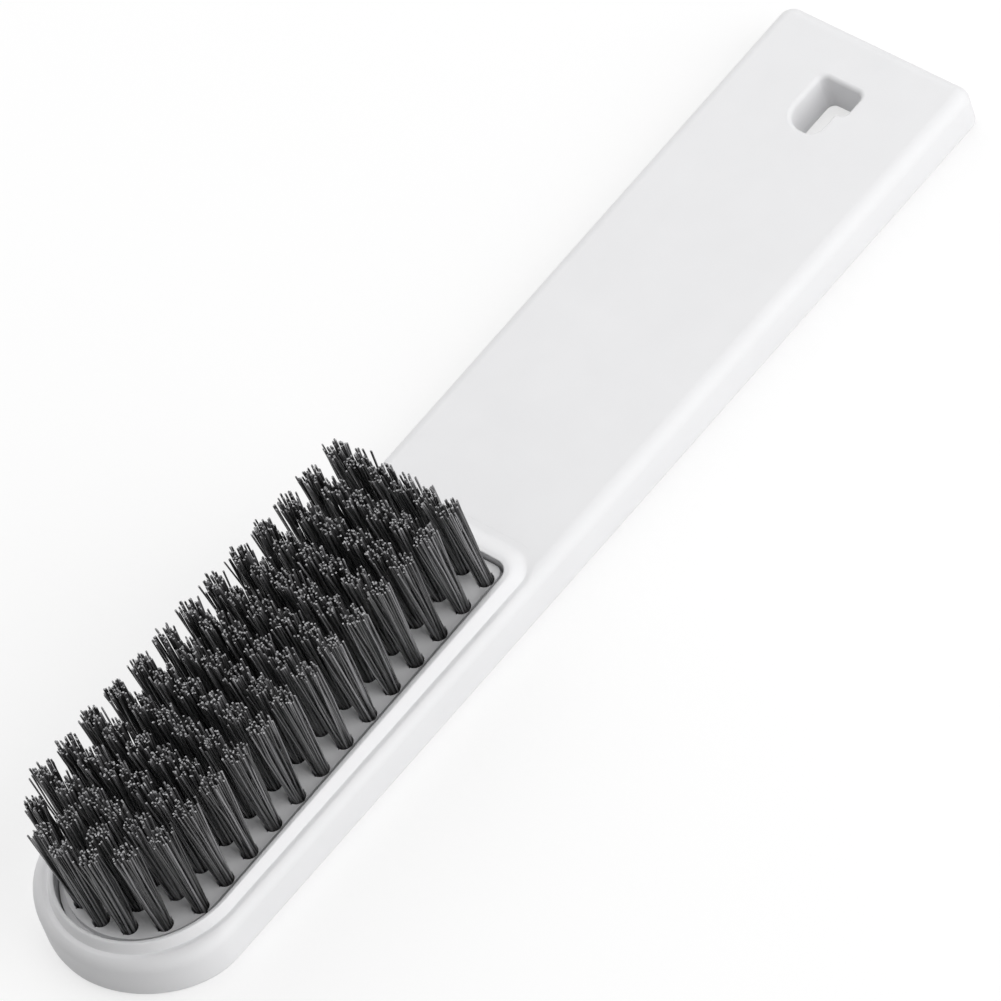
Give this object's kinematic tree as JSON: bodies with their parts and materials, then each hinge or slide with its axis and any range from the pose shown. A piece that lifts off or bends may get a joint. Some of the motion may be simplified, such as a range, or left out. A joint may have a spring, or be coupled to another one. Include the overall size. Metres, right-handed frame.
{
  "type": "scrub brush",
  "caption": "Flat moulded handle with a hang hole; a raised rim round its long round-tipped head holds a plate of stiff dark bristles.",
  "frame": {"origin": "on the back face that the brush lies on, under the middle of its length and width", "axes": "+X along the handle to the end with the hang hole, +Z out of the back through the bristles' tips, +Y across the brush"},
  "size_m": [0.2728, 0.0516, 0.0362],
  "materials": {
    "handle_plastic": "light grey moulded plastic, fine satin texture",
    "plate_plastic": "light mid grey moulded plastic, satin",
    "bristle_filament": "dark grey extruded filament, soft sheen"
  },
  "bodies": {
    "root": {"handle_body": "handle_plastic", "bristle_plate": "plate_plastic", "tuft_row_01": "bristle_filament", "tuft_row_02": "bristle_filament", "tuft_row_03": "bristle_filament", "tuft_row_04": "bristle_filament", "tuft_row_05": "bristle_filament", "tuft_row_06": "bristle_filament", "tuft_row_07": "bristle_filament", "tuft_row_08": "bristle_filament", "tuft_row_09": "bristle_filament", "tuft_row_10": "bristle_filament", "tuft_row_11": "bristle_filament", "tuft_row_12": "bristle_filament", "tuft_row_13": "bristle_filament", "tuft_row_14": "bristle_filament", "tuft_row_15": "bristle_filament"}
  },
  "joints": []
}
